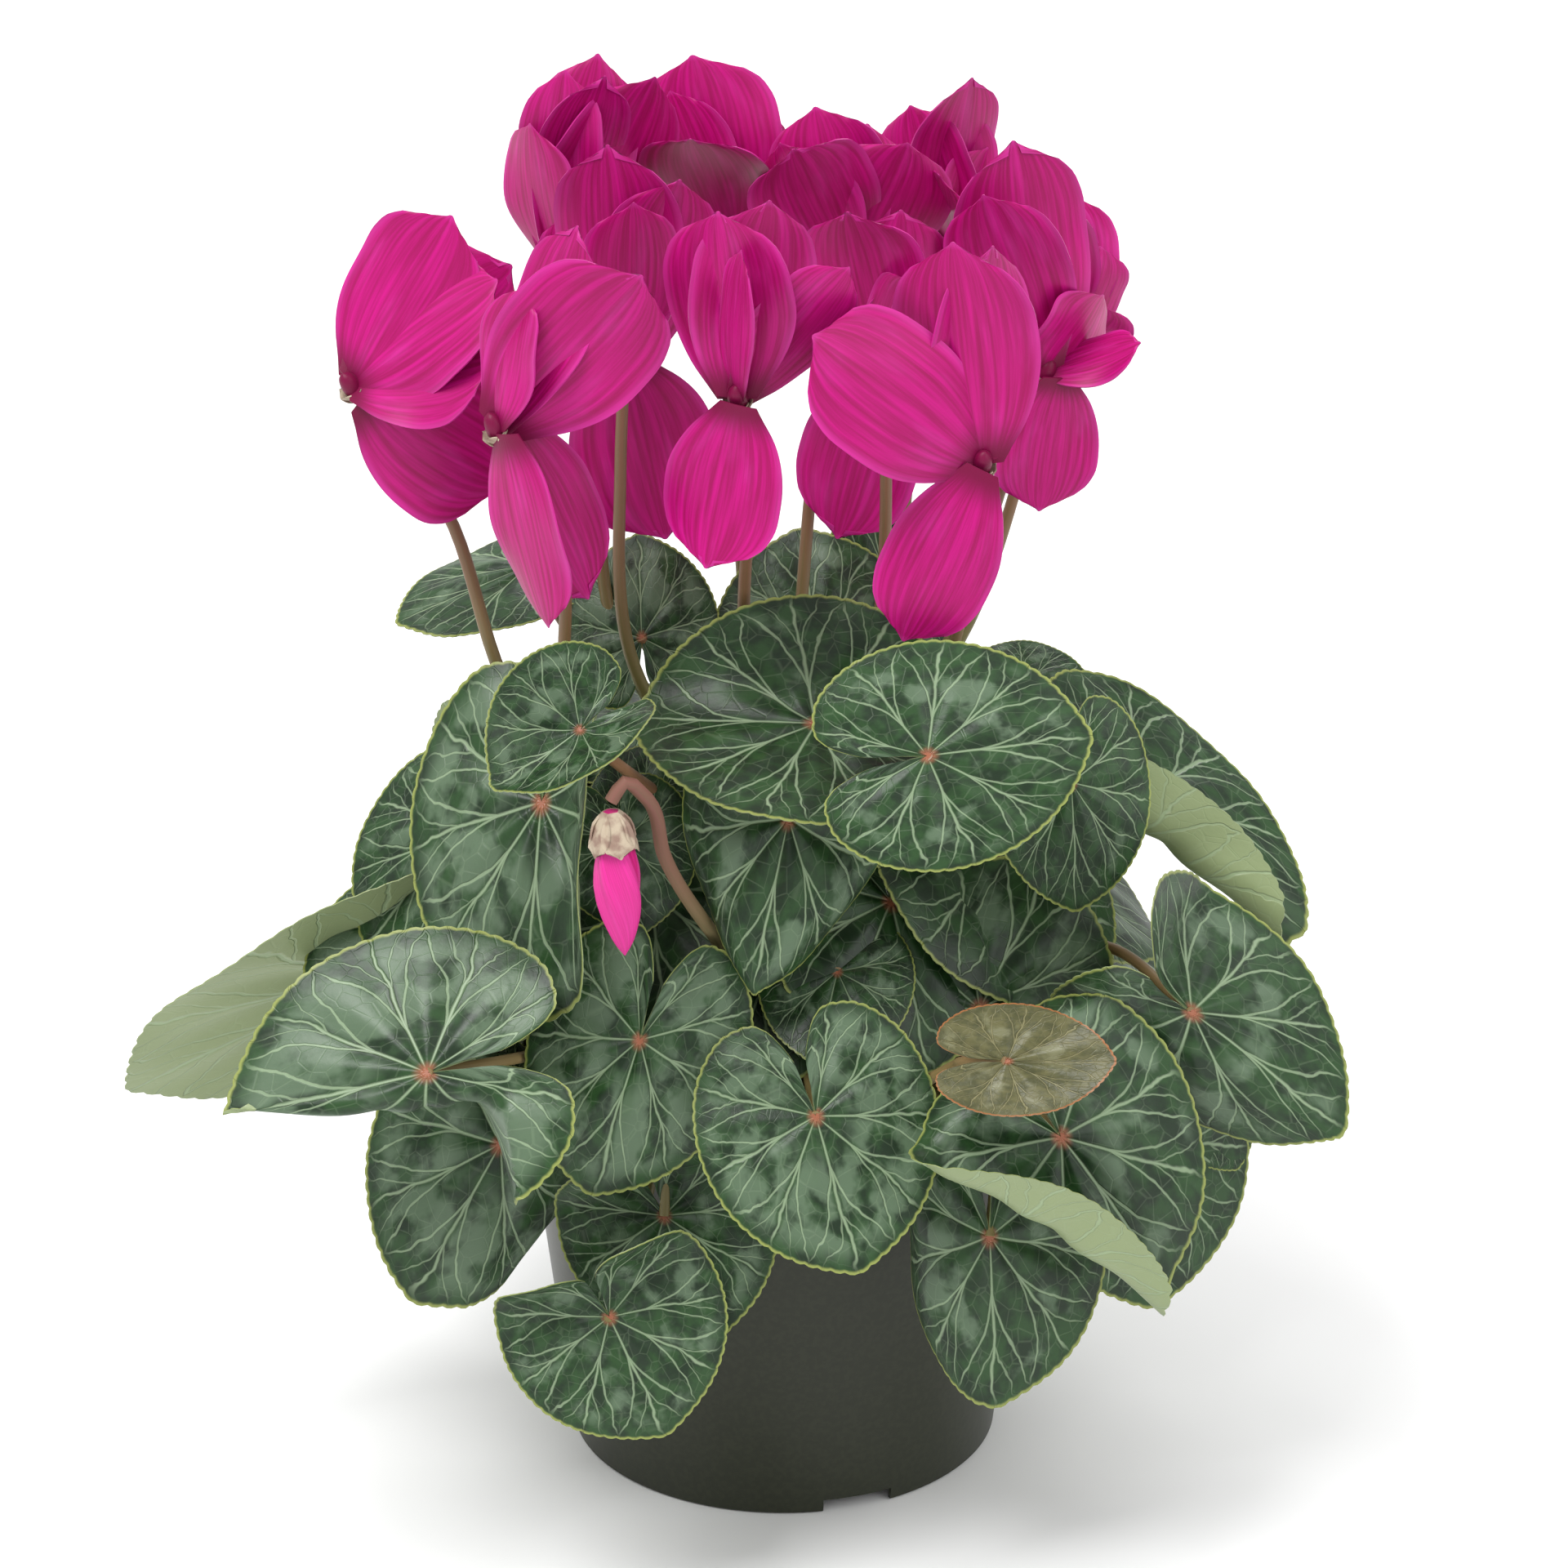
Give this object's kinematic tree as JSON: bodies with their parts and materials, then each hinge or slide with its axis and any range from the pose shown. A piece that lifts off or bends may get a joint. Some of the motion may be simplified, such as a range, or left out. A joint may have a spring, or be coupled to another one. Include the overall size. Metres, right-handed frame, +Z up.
{
  "type": "potted cyclamen",
  "caption": "Flowering cyclamen house plant with heart-shaped leaves, upright magenta flowers and a nodding bud, growing in a round plastic nursery pot.",
  "frame": {"origin": "centre of the pot's foot, on the surface that it stands on", "axes": "+Z up along the pot's axis; -Y is the plant's front, the side seen in the picture; +X is to the right seen from the front"},
  "size_m": [0.2834, 0.2343, 0.3321],
  "materials": {
    "pot_plastic": "satin dark olive-grey moulded plastic",
    "potting_soil": "matte crumbly peat soil",
    "tuber_skin": "matte corky brown skin",
    "leaf_green": "satin dark green with silver-green marbling and pale veins",
    "leaf_young_green": "satin olive green with a rusty margin",
    "petal_magenta": "satin magenta with fine lengthwise veins",
    "flower_stem": "satin reddish brown turning olive green towards the foot",
    "bud_pink": "satin hot pink, spirally furled, with a pale calyx"
  },
  "bodies": {
    "root": {"pot": "pot_plastic", "soil": "potting_soil", "tuber": "tuber_skin", "leaf_front": "leaf_green", "leaf_lower_front_left": "leaf_green", "leaf_bottom_left": "leaf_green", "leaf_lower_right": "leaf_green", "leaf_right_wrapped": "leaf_green", "leaf_young": "leaf_young_green", "leaf_right": "leaf_green", "leaf_right_behind": "leaf_green", "leaf_centre_right": "leaf_green", "leaf_upper_right": "leaf_green", "leaf_upper_left": "leaf_green", "leaf_centre": "leaf_green", "leaf_small_left": "leaf_green", "leaf_left_silver": "leaf_green", "leaf_left": "leaf_green", "leaf_far_left": "leaf_green", "leaf_lower_left": "leaf_green", "leaf_centre_left": "leaf_green", "leaf_right_dark": "leaf_green", "leaf_upper_far_right": "leaf_green", "leaf_far_left_upper": "leaf_green", "leaf_rear_1": "leaf_green", "leaf_rear_2": "leaf_green", "leaf_rear_3": "leaf_green", "leaf_rear_4": "leaf_green", "leaf_rear_5": "leaf_green", "leaf_rear_6": "leaf_green", "leaf_rear_7": "leaf_green", "flower_01": "petal_magenta", "flower_02": "petal_magenta", "flower_03": "petal_magenta", "flower_04": "petal_magenta", "flower_05": "petal_magenta", "flower_06": "petal_magenta", "flower_07": "petal_magenta", "flower_08": "petal_magenta", "flower_09": "petal_magenta", "flower_10": "petal_magenta", "flower_11": "petal_magenta", "flower_12": "petal_magenta", "flower_stem_01": "flower_stem", "flower_stem_02": "flower_stem", "flower_stem_03": "flower_stem", "flower_stem_04": "flower_stem", "flower_stem_05": "flower_stem", "flower_stem_06": "flower_stem", "flower_stem_07": "flower_stem", "flower_stem_08": "flower_stem", "flower_stem_09": "flower_stem", "flower_stem_10": "flower_stem", "flower_stem_11": "flower_stem", "flower_stem_12": "flower_stem", "bud": "bud_pink", "bud_stem": "flower_stem"}
  },
  "joints": []
}
